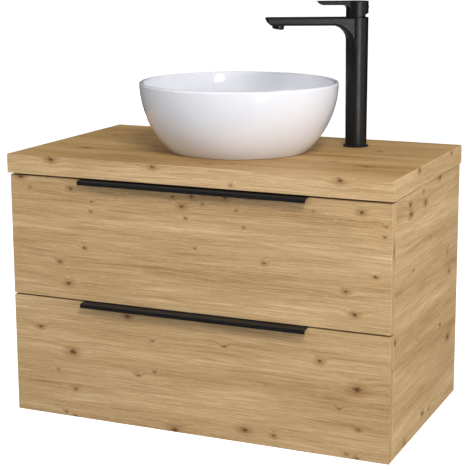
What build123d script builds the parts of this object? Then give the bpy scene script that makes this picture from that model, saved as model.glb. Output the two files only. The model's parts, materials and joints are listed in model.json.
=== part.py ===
"""Wall-hung bathroom vanity: two-drawer cabinet, worktop, round vessel basin, tall mixer tap and waste.

Frame: +X to the right, +Y towards the wall, +Z up, millimetres. The origin is on the wall plane, at
mid-width, in the middle of the four screw holes of the two wall plates that the cabinet hangs from.
"""
import os
from math import cos, radians, sin, tan

from build123d import *

os.makedirs("parts", exist_ok=True)

# ---- cabinet and worktop ----
cabinet_width = 800.0
cabinet_height = 495.0
carcass_depth = 434.0
panel_thickness = 16.0
front_thickness = 18.0
front_standoff = 2.0  # bumper gap between a closed front and the carcass
front_gap = 3.0  # between the two fronts
worktop_gap = 4.0  # between the worktop and the upper front
worktop_side_overhang = 3.0
worktop_depth = 460.0
worktop_thickness = 38.0
worktop_top = 92.0  # height over the wall plates' centre
edge_band = 1.0
panel_edge_radius = 0.8

# ---- hanging on the wall ----
plate_screw_spacing_x = 696.0
plate_screw_spacing_z = 28.0
plate_screw_radius = 3.0
wall_plate_width = 60.0
wall_plate_thickness = 2.5
rail_thickness = 18.0
rail_back = 8.0  # from the wall to the rails' backs

# ---- drawers ----
runner_gap = 13.0  # between a side panel and a drawer side
drawer_board = 12.0
drawer_bottom_board = 8.0
drawer_rear = 36.0  # from the wall to the drawers' backs
upper_drawer_base = -172.0
upper_drawer_height = 120.0
lower_drawer_base = -412.0
lower_drawer_height = 160.0
cutout_half_width = 98.0
cutout_front = 300.0  # from the wall to the cut-out's front
runner_height = 45.0
runner_length = 400.0
runner_sheet = 1.2
upper_runner_centre = -135.0
lower_runner_centre = -350.0

# ---- edge-pull handles ----
handle_length = 476.0
handle_sheet = 1.4
handle_reach = 17.0  # in front of the front's face
handle_slope = 1.8  # drop of the leaf over that reach
handle_lip_height = 8.5
handle_lip_thickness = 2.0
handle_back_height = 30.0
handle_back_sheet = 1.2

# ---- basin and waste ----
basin_y = -228.0
basin_rim_radius = 201.0
basin_foot_radius = 140.0
basin_height = 138.5
basin_wall = 9.0
basin_floor = 14.0
basin_wall_arc = 187.7  # radius of the outer wall's arc, upright at the rim
drain_radius = 23.0
flange_radius = 32.0
waste_tube_radius = 20.8

# ---- trap ----
trap_pipe_radius = 16.0
trap_arm_height = -36.0
trap_bottle_y = -95.0
trap_bottle_radius = 31.0
trap_bottle_bottom = -170.0
trap_outlet_height = -88.0
trap_outlet_radius = 20.0

# ---- tap ----
tap_x = 204.3
tap_y = -96.4
tap_direction = -152.0  # where the spout and the lever point, in plan
tap_hole_radius = 17.5
column_foot_radius = 22.0
column_top_radius = 23.0
column_height = 264.0
spout_length = 187.0
spout_thickness = 16.5
spout_root_fillet = 31.0
spout_root_half_width = 21.5
spout_tip_half_width = 17.0
aerator_distance = 160.5
aerator_radius = 12.0
aerator_tilt = 8.0
lever_top = 296.5
lever_pivot = 268.0
lever_reach = 83.0
lever_thickness = 8.0
lever_wedge_angle = 20.5
lever_gap = 0.8

# ---- worked-out places ----
cabinet_top = worktop_top - worktop_thickness
cabinet_bottom = cabinet_top - cabinet_height
half_width = cabinet_width / 2
inner_half_width = half_width - panel_thickness
front_back = -carcass_depth - front_standoff
front_face = front_back - front_thickness
upper_front_top = cabinet_top - worktop_gap
front_height = (upper_front_top - cabinet_bottom - front_gap) / 2
lower_front_top = cabinet_bottom + front_height
drawer_half_width = inner_half_width - runner_gap
basin_base = worktop_top
basin_arc_centre = basin_rim_radius - basin_wall_arc
bowl_floor = basin_base + basin_floor

plan = Plane.XY
basin_plan = Plane(origin=(0, basin_y, 0))
basin_section = Plane(origin=(0, basin_y, basin_base), x_dir=(1, 0, 0), z_dir=(0, -1, 0))
pointing = (cos(radians(tap_direction)), sin(radians(tap_direction)), 0)
tap_plan = Plane(origin=(tap_x, tap_y, worktop_top), x_dir=pointing, z_dir=(0, 0, 1))
tap_section = Plane(
    origin=(tap_x, tap_y, worktop_top), x_dir=pointing, z_dir=(pointing[1], -pointing[0], 0)
)


def keep(part, name):
    """Label a finished piece and write it to its own STEP file."""
    part.label = name
    export_step(part, f"parts/{name}.step")


def slab(x, y, z, edge_radius=0.0):
    """A board or block between two X, two Y and two Z values."""
    with BuildPart() as block:
        with BuildSketch(plan.offset(min(z))):
            with Locations(((x[0] + x[1]) / 2, (y[0] + y[1]) / 2)):
                Rectangle(abs(x[1] - x[0]), abs(y[1] - y[0]))
        extrude(amount=abs(z[1] - z[0]))
        if edge_radius:
            fillet(block.edges(), edge_radius)
    return block.part


def tube(base, low, high, outer, inner=0.0):
    """A round bar or tube standing on a plane, between two heights over it."""
    with BuildPart() as round_bar:
        with BuildSketch(base.offset(low)):
            Circle(outer)
            if inner:
                Circle(inner, mode=Mode.SUBTRACT)
        extrude(amount=high - low)
    return round_bar.part


def hexagon_nut(base, low, high, across_flats, inner):
    """A hexagonal nut round an upright axis."""
    with BuildPart() as nut:
        with BuildSketch(base.offset(low)):
            RegularPolygon(across_flats / 2, 6, major_radius=False)
            Circle(inner, mode=Mode.SUBTRACT)
        extrude(amount=high - low)
        chamfer(nut.edges().filter_by(GeomType.LINE).filter_by(Axis.Z), 0.8)
    return nut.part


def corner(sketch, x, y, count=1):
    """The outline's corners nearest to a place given in the sketch's own axes."""
    return sketch.vertices().sort_by_distance((x, y, 0))[:count]


def both_sides(part):
    """The same piece on the right and, mirrored, on the left."""
    return Part(children=[part, mirror(part, about=Plane.YZ, mode=Mode.PRIVATE)])


# ==== carcass ====
side_panel = slab(
    (inner_half_width, half_width), (-carcass_depth, 0), (cabinet_bottom, cabinet_top), panel_edge_radius
)
keep(side_panel, "side_panel_right")
keep(mirror(side_panel, about=Plane.YZ, mode=Mode.PRIVATE), "side_panel_left")

keep(
    slab(
        (-inner_half_width, inner_half_width),
        (-carcass_depth, -rail_back),
        (cabinet_bottom, cabinet_bottom + panel_thickness),
    ),
    "bottom_panel",
)

# The front rail carries the worktop, with four screws up through it.
front_rail_depth = 80.0
worktop_screw_x = 300.0
worktop_screw_pitch = 2 * worktop_screw_x / 3
worktop_screw_radius = 2.0
worktop_screw_depth = 15.0  # into the worktop
screw_clearance = 0.3
screw_head_radius = 4.0
screw_head_height = 2.2
screw_head_round = 1.2
worktop_screw_y = -carcass_depth + front_rail_depth / 2
rail_underside = cabinet_top - panel_thickness
with BuildPart() as front_rail:
    with BuildSketch(plan.offset(rail_underside)):
        with Locations((0, worktop_screw_y)):
            Rectangle(2 * inner_half_width, front_rail_depth)
            with GridLocations(worktop_screw_pitch, 0, 4, 1):
                Circle(worktop_screw_radius + screw_clearance, mode=Mode.SUBTRACT)
    extrude(amount=panel_thickness)
keep(front_rail.part, "front_rail")

# The hanging rail is notched at both ends, where the hangers' hooks pass through to the wall plates.
hanging_rail_height = 100.0
notch_length = 24.0
notch_low = 26.0
notch_high = 50.0
with BuildPart() as hanging_rail:
    with BuildSketch(Plane.XZ.offset(rail_back)):
        with Locations((0, cabinet_top - hanging_rail_height / 2)):
            Rectangle(2 * inner_half_width, hanging_rail_height)
        with Locations((0, (notch_low + notch_high) / 2)):
            with GridLocations(2 * inner_half_width - notch_length, 0, 2, 1):
                Rectangle(notch_length, notch_high - notch_low, mode=Mode.SUBTRACT)
    extrude(amount=rail_thickness)
keep(hanging_rail.part, "hanging_rail")

lower_rail_height = 80.0
keep(
    slab(
        (-inner_half_width, inner_half_width),
        (-rail_back - rail_thickness, -rail_back),
        (cabinet_bottom + panel_thickness, cabinet_bottom + panel_thickness + lower_rail_height),
    ),
    "rear_lower_rail",
)

# ==== worktop ====
band_edge_radius = 0.7
worktop_half_width = half_width + worktop_side_overhang
worktop_drain_radius = drain_radius + 2.0
with BuildPart() as worktop:
    with BuildSketch(plan.offset(cabinet_top)):
        with Locations((0, -(worktop_depth - edge_band) / 2)):
            Rectangle(2 * (worktop_half_width - edge_band), worktop_depth - edge_band)
        with Locations((0, basin_y)):
            Circle(worktop_drain_radius, mode=Mode.SUBTRACT)
        with Locations((tap_x, tap_y)):
            Circle(tap_hole_radius, mode=Mode.SUBTRACT)
    extrude(amount=worktop_thickness)
    with BuildSketch(plan.offset(cabinet_top)):
        with Locations((0, worktop_screw_y)):
            with GridLocations(worktop_screw_pitch, 0, 4, 1):
                Circle(worktop_screw_radius)
    extrude(amount=worktop_screw_depth, mode=Mode.SUBTRACT)
keep(worktop.part, "worktop")

with BuildPart() as edge_bands:
    with BuildSketch(plan.offset(cabinet_top)):
        with Locations((0, -worktop_depth / 2)):
            Rectangle(2 * worktop_half_width, worktop_depth)
        with Locations((0, -(worktop_depth - edge_band) / 2)):
            core_width = 2 * (worktop_half_width - edge_band)
            Rectangle(core_width, worktop_depth - edge_band, mode=Mode.SUBTRACT)
    extrude(amount=worktop_thickness)
    outer_faces = edge_bands.faces().filter_by(Axis.X).sort_by(Axis.X)
    front_side = edge_bands.faces().filter_by(Axis.Y).sort_by(Axis.Y)[0]
    outline = outer_faces[0].edges() + outer_faces[-1].edges() + front_side.edges()
    rear_edges = edge_bands.edges().filter_by_position(Axis.Y, -0.1, 0.1)
    fillet([edge for edge in outline if edge not in rear_edges], band_edge_radius)
keep(edge_bands.part, "worktop_edge_bands")

# Pan-head screws, from the front rail up into the worktop.
with BuildPart() as worktop_screws:
    with BuildSketch(plan.offset(rail_underside - screw_head_height)):
        with Locations((0, worktop_screw_y)):
            with GridLocations(worktop_screw_pitch, 0, 4, 1):
                Circle(screw_head_radius)
    extrude(amount=screw_head_height)
    fillet(worktop_screws.edges().group_by(Axis.Z)[0], screw_head_round)
    with BuildSketch(plan.offset(rail_underside)):
        with Locations((0, worktop_screw_y)):
            with GridLocations(worktop_screw_pitch, 0, 4, 1):
                Circle(worktop_screw_radius)
    extrude(amount=panel_thickness + worktop_screw_depth - 1)
keep(worktop_screws.part, "worktop_screws")

# ==== wall plates and hangers ====
plate_centre_x = plate_screw_spacing_x / 2
plate_low = -24.0
plate_bend = 20.0
plate_step = 4.0  # how far the hook strip stands off the wall
plate_top = 38.0
with BuildPart() as wall_plate:
    with BuildSketch(Plane.YZ.offset(plate_centre_x - wall_plate_width / 2)):
        with BuildLine():
            Polyline(
                (0, plate_low),
                (0, plate_bend + 1),
                (-plate_step, plate_bend + 1 + plate_step),
                (-plate_step, plate_top),
                (-plate_step - wall_plate_thickness, plate_top),
                (-plate_step - wall_plate_thickness, plate_bend + plate_step),
                (-wall_plate_thickness, plate_bend),
                (-wall_plate_thickness, plate_low),
                close=True,
            )
        make_face()
    extrude(amount=wall_plate_width)
    # Two wall screws' holes, in the flat under the raised strip.
    with BuildSketch(Plane.XZ.offset(-1)):
        with Locations((plate_centre_x, 0)):
            with GridLocations(0, plate_screw_spacing_z, 1, 2):
                Circle(plate_screw_radius)
    extrude(amount=10, mode=Mode.SUBTRACT)
keep(both_sides(wall_plate.part), "wall_plates")

hanger_low = 6.0
hanger_high = 52.0
hanger_front = -70.0
hanger_body_rear = -(rail_back + rail_thickness)
hanger_width = 16.0
hanger_chamfer = 1.5
hanger_x = inner_half_width - hanger_width / 2
hook_x = inner_half_width - 15.0
hook_thickness = 2.4
hook_width = 8.0
hook_arm_height = 10.0
hook_root = hanger_body_rear - 4.0  # inside the hanger's body
hook_rear = 0.8
hook_low = 28.0
with BuildPart() as hanger:
    with BuildSketch(plan.offset(hanger_low)):
        with Locations((hanger_x, (hanger_front + hanger_body_rear) / 2)):
            Rectangle(hanger_width, hanger_body_rear - hanger_front)
    extrude(amount=hanger_high - hanger_low)
    chamfer(hanger.edges().filter_by(Axis.Z), hanger_chamfer)
    # The arm goes back through the rail's notch and its hook drops behind the plate's strip.
    with BuildSketch(Plane.YZ.offset(hook_x)):
        with BuildLine():
            Polyline(
                (hook_root, plate_top),
                (-hook_rear - hook_thickness, plate_top),
                (-hook_rear - hook_thickness, hook_low),
                (-hook_rear, hook_low),
                (-hook_rear, plate_top + hook_arm_height),
                (hook_root, plate_top + hook_arm_height),
                close=True,
            )
        make_face()
    extrude(amount=hook_width)
keep(both_sides(hanger.part), "cabinet_hangers")

adjuster_pitch = 22.0
adjuster_radius = 4.2
adjuster_head = 2.6
recess_span = 4.6
recess_width = 0.9
adjuster_middle = (hanger_low + hanger_high) / 2
with BuildPart() as adjuster:
    with BuildSketch(Plane.XZ.offset(-hanger_front)):
        with Locations((hanger_x, adjuster_middle)):
            with GridLocations(0, adjuster_pitch, 1, 2):
                Circle(adjuster_radius)
    extrude(amount=adjuster_head)
    # Cross recesses for a screwdriver.
    with BuildSketch(Plane.XZ.offset(-hanger_front + 1)):
        with Locations((hanger_x, adjuster_middle)):
            with GridLocations(0, adjuster_pitch, 1, 2):
                Rectangle(recess_span, recess_width)
                Rectangle(recess_width, recess_span)
    extrude(amount=adjuster_head, mode=Mode.SUBTRACT)
keep(both_sides(adjuster.part), "hanger_adjusters")

# ==== drawer fronts and handles ====
handle_screw_drop = 22.0
handle_screw_pitch = 200.0
handle_screw_radius = 1.6
handle_screw_head_radius = 3.2
handle_screw_head = 1.4
handle_outer_round = 1.6
handle_inner_round = 2.6
handle_lip_round = 0.9


def drawer_front(top, name):
    """One front board with its edges eased."""
    height = (top - front_height, top)
    keep(slab((-half_width, half_width), (front_face, front_back), height, panel_edge_radius), name)


def handle(top, name):
    """The bent profile over a front's top edge: leaf behind, leaf on top, hanging lip in front."""
    tip = front_face - handle_reach
    inside_tip = tip + handle_lip_thickness
    with BuildPart() as profile:
        with BuildSketch(Plane.YZ.offset(-handle_length / 2)) as section_sketch:
            with BuildLine():
                Polyline(
                    (front_back + handle_back_sheet, top - handle_back_height),
                    (front_back + handle_back_sheet, top + handle_sheet),
                    (front_face, top + handle_sheet),
                    (tip, top + handle_sheet - handle_slope),
                    (tip, top - handle_lip_height),
                    (inside_tip, top - handle_lip_height),
                    (inside_tip, top - handle_slope),
                    (front_face, top),
                    (front_back, top),
                    (front_back, top - handle_back_height),
                    close=True,
                )
            make_face()
            fillet(corner(section_sketch, tip, top + handle_sheet - handle_slope), handle_outer_round)
            fillet(corner(section_sketch, inside_tip, top - handle_slope), handle_inner_round)
            lip_end = corner(section_sketch, (tip + inside_tip) / 2, top - handle_lip_height, 2)
            fillet(lip_end, handle_lip_round)
        extrude(amount=handle_length)
        with BuildSketch(Plane.XZ.offset(-front_back - handle_back_sheet - 1)):
            with Locations((0, top - handle_screw_drop)):
                with GridLocations(handle_screw_pitch, 0, 3, 1):
                    Circle(handle_screw_radius + 0.1)
        extrude(amount=handle_back_sheet + 2, mode=Mode.SUBTRACT)
    keep(profile.part, name)


def handle_screws(top, name):
    """Low-head screws that hold the profile's rear leaf; they end at the board."""
    with BuildPart() as screws:
        with BuildSketch(Plane.XZ.offset(-front_back)):
            with Locations((0, top - handle_screw_drop)):
                with GridLocations(handle_screw_pitch, 0, 3, 1):
                    Circle(handle_screw_radius)
        extrude(amount=-handle_back_sheet)
        with BuildSketch(Plane.XZ.offset(-front_back - handle_back_sheet)):
            with Locations((0, top - handle_screw_drop)):
                with GridLocations(handle_screw_pitch, 0, 3, 1):
                    Circle(handle_screw_head_radius)
        extrude(amount=-handle_screw_head)
        fillet(screws.edges().group_by(Axis.Y)[-1], handle_screw_head - 0.6)
    keep(screws.part, name)


for drawer, top in (("upper", upper_front_top), ("lower", lower_front_top)):
    drawer_front(top, f"{drawer}_front")
    handle(top, f"{drawer}_handle")
    handle_screws(top, f"{drawer}_handle_screws")

# ==== drawer boxes ====
drawer_inner = drawer_half_width - drawer_board
bottom_groove = 4.0  # height of the bottom board over the sides' lower edge


def drawer_sides(base, height, drawer):
    """The two long side boards."""
    side = slab((drawer_inner, drawer_half_width), (front_back, -drawer_rear), (base, base + height))
    keep(side, f"{drawer}_drawer_side_right")
    keep(mirror(side, about=Plane.YZ, mode=Mode.PRIVATE), f"{drawer}_drawer_side_left")


drawer_sides(upper_drawer_base, upper_drawer_height, "upper")
drawer_sides(lower_drawer_base, lower_drawer_height, "lower")

upper_floor = upper_drawer_base + bottom_groove
upper_walls = (upper_floor + drawer_bottom_board, upper_drawer_base + upper_drawer_height)
with BuildPart() as upper_bottom:
    with BuildSketch(plan.offset(upper_floor)):
        with Locations((0, (front_back - drawer_rear) / 2)):
            Rectangle(2 * drawer_inner, -front_back - drawer_rear)
        with Locations((0, -cutout_front / 2)):
            Rectangle(2 * cutout_half_width, cutout_front, mode=Mode.SUBTRACT)
    extrude(amount=drawer_bottom_board)
keep(upper_bottom.part, "upper_drawer_bottom")

cutout_outside = cutout_half_width + drawer_board
upper_back = slab((cutout_outside, drawer_inner), (-drawer_rear - drawer_board, -drawer_rear), upper_walls)
keep(both_sides(upper_back), "upper_drawer_backs")
cutout_wall = slab((cutout_half_width, cutout_outside), (-cutout_front, -drawer_rear), upper_walls)
cutout_front_wall = slab(
    (-cutout_outside, cutout_outside), (-cutout_front - drawer_board, -cutout_front), upper_walls
)
keep(Part(children=[*both_sides(cutout_wall).children, cutout_front_wall]), "upper_cutout_walls")

lower_floor = lower_drawer_base + bottom_groove
keep(
    slab(
        (-drawer_inner, drawer_inner),
        (front_back, -drawer_rear),
        (lower_floor, lower_floor + drawer_bottom_board),
    ),
    "lower_drawer_bottom",
)
keep(
    slab(
        (-drawer_inner, drawer_inner),
        (-drawer_rear - drawer_board, -drawer_rear),
        (lower_floor + drawer_bottom_board, lower_drawer_base + lower_drawer_height),
    ),
    "lower_drawer_back",
)

# ==== telescopic runners ====
runner_front = -carcass_depth + 4.0
middle_play = 1.0  # between nested members
cabinet_member_depth = 10.0
middle_member_depth = 8.0
drawer_member_depth = 7.5


def channel(web_x, outward, height, depth, y_low, y_high, centre):
    """A C-shaped steel member: web at web_x, flanges reaching depth along outward."""
    with BuildPart() as member:
        with BuildSketch(Plane.XZ.offset(-y_high)):
            with Locations((web_x + outward * depth / 2, centre)):
                Rectangle(depth, height)
            with Locations((web_x + outward * (depth + runner_sheet) / 2, centre)):
                Rectangle(depth - runner_sheet, height - 2 * runner_sheet, mode=Mode.SUBTRACT)
        extrude(amount=y_high - y_low)
    return member.part


def runner_pair(centre, drawer):
    """The cabinet, middle and drawer members of one drawer's two runners."""
    y_low, y_high = runner_front, runner_front + runner_length
    cabinet_web = inner_half_width
    middle_web = cabinet_web - runner_sheet - middle_play
    drawer_web = drawer_half_width
    inner_step = 2 * (runner_sheet + middle_play)
    cabinet_member = channel(cabinet_web, -1, runner_height, cabinet_member_depth, y_low, y_high, centre)
    middle_height = runner_height - inner_step
    middle_member = channel(middle_web, -1, middle_height, middle_member_depth, y_low, y_high, centre)
    drawer_height = runner_height - 2 * inner_step
    drawer_member = channel(drawer_web, 1, drawer_height, drawer_member_depth, y_low, y_high, centre)
    keep(both_sides(cabinet_member), f"{drawer}_runner_cabinet_members")
    keep(both_sides(middle_member), f"{drawer}_runner_middle_members")
    keep(both_sides(drawer_member), f"{drawer}_runner_drawer_members")


runner_pair(upper_runner_centre, "upper")
runner_pair(lower_runner_centre, "lower")

# ==== basin ====
rim_round = basin_wall / 2 - 0.2
inner_arc = basin_wall_arc - basin_wall
floor_slope = 2.0
floor_corner_radius = 60.0
foot_corner_radius = 4.0
recess_depth = 2.4
recess_radius = flange_radius + 0.5


def wall_radius(arc, height):
    """Radius of the basin's wall at a height over its foot, for one of its two arcs."""
    drop = basin_height - height
    return basin_arc_centre + (arc**2 - drop**2) ** 0.5


middle_height = basin_height / 2
with BuildPart() as basin:
    with BuildSketch(basin_section) as wall_section:
        with BuildLine():
            Polyline(
                (drain_radius, basin_floor - recess_depth),
                (drain_radius, 0),
                (basin_foot_radius, 0),
            )
            ThreePointArc(
                (basin_foot_radius, 0),
                (wall_radius(basin_wall_arc, middle_height), middle_height),
                (basin_rim_radius, basin_height),
            )
            Line((basin_rim_radius, basin_height), (basin_rim_radius - basin_wall, basin_height))
            ThreePointArc(
                (basin_rim_radius - basin_wall, basin_height),
                (wall_radius(inner_arc, middle_height), middle_height),
                (wall_radius(inner_arc, basin_floor + floor_slope), basin_floor + floor_slope),
            )
            Polyline(
                (wall_radius(inner_arc, basin_floor + floor_slope), basin_floor + floor_slope),
                (recess_radius, basin_floor),
                (recess_radius, basin_floor - recess_depth),
                (drain_radius, basin_floor - recess_depth),
            )
        make_face()
        floor_edge = wall_radius(inner_arc, basin_floor + floor_slope)
        fillet(corner(wall_section, floor_edge, basin_floor + floor_slope), floor_corner_radius)
        fillet(corner(wall_section, basin_foot_radius, 0), foot_corner_radius)
        fillet(corner(wall_section, basin_rim_radius, basin_height), rim_round)
        fillet(corner(wall_section, basin_rim_radius - basin_wall, basin_height), rim_round)
    revolve(axis=Axis((0, basin_y, 0), (0, 0, 1)))
keep(basin.part, "basin_bowl")

# ==== waste ====
flange_thickness = 2.0
waste_tube_bore = 17.0
waste_tube_end = 22.0
guide_low, guide_high = 72.0, 76.0
spindle_radius = 3.5
spindle_tail = 14.0  # below the guide
running_play = 0.06
spoke_width = 3.0
guide_ring_wall = 3.0
flange_round = 1.2
flange_seat = bowl_floor - recess_depth
with BuildPart() as waste_body:
    with BuildSketch(basin_plan.offset(flange_seat)):
        Circle(flange_radius)
        Circle(waste_tube_bore, mode=Mode.SUBTRACT)
    extrude(amount=flange_thickness)
    fillet(waste_body.edges().group_by(Axis.Z)[-1].sort_by(SortBy.LENGTH)[-1], flange_round)
    with BuildSketch(basin_plan.offset(waste_tube_end)):
        Circle(waste_tube_radius)
        Circle(waste_tube_bore, mode=Mode.SUBTRACT)
    extrude(amount=flange_seat - waste_tube_end)
    # Three spokes hold the ring that guides the plug's spindle.
    with BuildSketch(basin_plan.offset(guide_low)):
        with PolarLocations((waste_tube_bore + spindle_radius) / 2, 3):
            Rectangle(waste_tube_bore - spindle_radius, spoke_width)
        Circle(spindle_radius + guide_ring_wall)
        Circle(spindle_radius + running_play, mode=Mode.SUBTRACT)
    extrude(amount=guide_high - guide_low)
keep(waste_body.part, "waste_body")

plug_gap = 0.4
plug_low = flange_seat + flange_thickness + plug_gap
plug_thickness = 4.4
plug_round = 3.0
with BuildPart() as plug:
    with BuildSketch(basin_plan.offset(plug_low)):
        Circle(flange_radius - 2)
    extrude(amount=plug_thickness)
    fillet(plug.edges().group_by(Axis.Z)[-1], plug_round)
    with BuildSketch(basin_plan.offset(guide_low - spindle_tail)):
        Circle(spindle_radius)
    extrude(amount=plug_low - guide_low + spindle_tail)
keep(plug.part, "waste_plug")

washer_radius = 36.0
washer_under = cabinet_top - 4.0
waste_nut_height = 12.0
waste_nut_flats = 56.0
keep(tube(basin_plan, washer_under, cabinet_top, washer_radius, waste_tube_radius + 0.3), "waste_washer")
nut_under = washer_under - waste_nut_height
keep(
    hexagon_nut(basin_plan, nut_under, washer_under, waste_nut_flats, waste_tube_radius + 0.1), "waste_nut"
)

# ==== bottle trap ====
pipe_wall = 2.0
trap_bend_radius = 28.0
dip_end = -156.0
bottle_top = -68.0
bottle_wall = 2.5
bottle_cap = 4.0
bottle_round = 5.0
collar_height = 4.0
grip_low = -128.0
grip_height = 14.0
grip_ribs = 12
port_radius = trap_outlet_radius - 4.0
with BuildPart() as trap_inlet_pipe:
    with BuildLine() as pipe_route:
        FilletPolyline(
            (0, basin_y, waste_tube_end),
            (0, basin_y, trap_arm_height),
            (0, trap_bottle_y, trap_arm_height),
            (0, trap_bottle_y, dip_end),
            radius=trap_bend_radius,
        )
    with BuildSketch(Plane(origin=(0, basin_y, waste_tube_end), z_dir=(0, 0, -1))):
        Circle(trap_pipe_radius)
        Circle(trap_pipe_radius - pipe_wall, mode=Mode.SUBTRACT)
    sweep(path=pipe_route.line)
    # The collar that the union nut pulls against the waste tube's end.
    with BuildSketch(basin_plan.offset(waste_tube_end - collar_height)):
        Circle(waste_tube_radius)
        Circle(trap_pipe_radius - pipe_wall, mode=Mode.SUBTRACT)
    extrude(amount=collar_height)
keep(trap_inlet_pipe.part, "trap_inlet_pipe")

bottle_plan = Plane(origin=(0, trap_bottle_y, 0))
outlet_start = Plane(origin=(0, trap_bottle_y, trap_outlet_height), x_dir=(1, 0, 0), z_dir=(0, 1, 0))
with BuildPart() as trap_bottle:
    with BuildSketch(Plane.XZ.offset(-trap_bottle_y)):
        with BuildLine():
            Polyline(
                (trap_pipe_radius + 0.2, bottle_top),
                (trap_bottle_radius, bottle_top),
                (trap_bottle_radius, trap_bottle_bottom),
                (0, trap_bottle_bottom),
                (0, trap_bottle_bottom + bottle_wall),
                (trap_bottle_radius - bottle_wall, trap_bottle_bottom + bottle_wall),
                (trap_bottle_radius - bottle_wall, bottle_top - bottle_cap),
                (trap_pipe_radius + 0.2, bottle_top - bottle_cap),
                close=True,
            )
        make_face()
    revolve(axis=Axis((0, trap_bottle_y, 0), (0, 0, 1)))
    fillet(trap_bottle.edges().group_by(Axis.Z)[0], bottle_round)
    # The grip ring of the removable cup.
    with BuildSketch(bottle_plan.offset(grip_low)):
        with PolarLocations(trap_bottle_radius, grip_ribs):
            Rectangle(3, 6)
        Circle(trap_bottle_radius - 1, mode=Mode.SUBTRACT)
    extrude(amount=grip_height)
    # The outlet port's hole.
    with BuildSketch(outlet_start):
        Circle(port_radius)
    extrude(amount=trap_bottle_radius + 4, mode=Mode.SUBTRACT)
keep(trap_bottle.part, "trap_bottle")

# The outlet pipe starts on the bottle's wall and runs to the wall plane, with a collar for its nut.
outlet_collar_rear = -40.0
outlet_collar_front = -44.0
outlet_nut_front = -60.0
with BuildPart() as trap_outlet_pipe:
    with BuildSketch(outlet_start):
        Circle(trap_outlet_radius)
    extrude(amount=-trap_bottle_y)
    with BuildSketch(outlet_start.offset(outlet_collar_front - trap_bottle_y)):
        Circle(trap_outlet_radius + 2)
    extrude(amount=outlet_collar_rear - outlet_collar_front)
    with BuildSketch(outlet_start):
        Circle(trap_outlet_radius - pipe_wall)
    extrude(amount=-trap_bottle_y, mode=Mode.SUBTRACT)
    # Its front end follows the bottle's round wall.
    with BuildSketch(bottle_plan.offset(trap_outlet_height - 1.5 * trap_outlet_radius)):
        Circle(trap_bottle_radius)
    extrude(amount=3 * trap_outlet_radius, mode=Mode.SUBTRACT)
keep(trap_outlet_pipe.part, "trap_outlet_pipe")

union_low = 6.0
union_high = 36.0
union_step = waste_tube_end - collar_height
union_radius = 27.0
outlet_nut_radius = 26.0
rib_count = 10
rib_radius = 1.6
with BuildPart() as inlet_union:
    with BuildSketch(basin_plan.offset(union_low)):
        Circle(union_radius)
        Circle(trap_pipe_radius + 0.2, mode=Mode.SUBTRACT)
    extrude(amount=union_step - union_low)
    with BuildSketch(basin_plan.offset(union_step)):
        Circle(union_radius)
        Circle(waste_tube_radius + 0.1, mode=Mode.SUBTRACT)
    extrude(amount=union_high - union_step)
    with BuildSketch(basin_plan.offset(union_low)):
        with PolarLocations(union_radius, rib_count):
            Circle(rib_radius)
    extrude(amount=union_high - union_low)
with BuildPart() as outlet_nut:
    with BuildSketch(outlet_start.offset(outlet_nut_front - trap_bottle_y)):
        Circle(outlet_nut_radius)
        with PolarLocations(outlet_nut_radius, rib_count):
            Circle(rib_radius)
        Circle(trap_outlet_radius + 0.1, mode=Mode.SUBTRACT)
    extrude(amount=outlet_collar_front - outlet_nut_front)
keep(Part(children=[inlet_union.part, outlet_nut.part]), "trap_nuts")

# ==== tap: fixings under and through the worktop ====
shank_radius = 16.0
shank_bore = 12.5
shank_end = -72.0
manifold_low = -26.0
manifold_high = -8.0
inlet_radius = 4.5
inlet_offset = 6.2
inlet_depth = 14.0
nut_top = -worktop_thickness - 5.0
nut_bottom = nut_top - 12.0
ring_height = 4.0
ring_radius = 26.4
ring_edge = 1.2
rubber_thickness = 3.0
rubber_radius = 30.0
steel_washer_radius = 29.0
tap_nut_flats = 46.0
shank_play = 0.3
keep(tube(tap_plan, shank_end, ring_height, shank_radius, shank_bore), "tap_shank")
with BuildPart() as manifold:
    with BuildSketch(tap_plan.offset(manifold_low)):
        Circle(shank_bore)
    extrude(amount=manifold_high - manifold_low)
    with BuildSketch(tap_plan.offset(manifold_low)):
        with GridLocations(2 * inlet_offset, 0, 2, 1):
            Circle(inlet_radius)
    extrude(amount=inlet_depth, mode=Mode.SUBTRACT)
keep(manifold.part, "supply_inlet_block")
rubber_under = -worktop_thickness - rubber_thickness
washer_hole = shank_radius + shank_play
keep(tube(tap_plan, rubber_under, -worktop_thickness, rubber_radius, washer_hole), "tap_rubber_washer")
keep(tube(tap_plan, nut_top, rubber_under, steel_washer_radius, washer_hole), "tap_steel_washer")
keep(hexagon_nut(tap_plan, nut_bottom, nut_top, tap_nut_flats, shank_radius + 0.1), "tap_nut")

# ==== tap: column and spout ====
with BuildPart() as base_ring:
    with BuildSketch(tap_section):
        with BuildLine():
            Polyline(
                (shank_radius + 0.2, 0),
                (ring_radius, 0),
                (ring_radius, ring_edge),
                (column_foot_radius + 0.8, ring_height),
                (shank_radius + 0.2, ring_height),
                close=True,
            )
        make_face()
    revolve(axis=Axis((tap_x, tap_y, 0), (0, 0, 1)))
keep(base_ring.part, "tap_base_ring")

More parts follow.
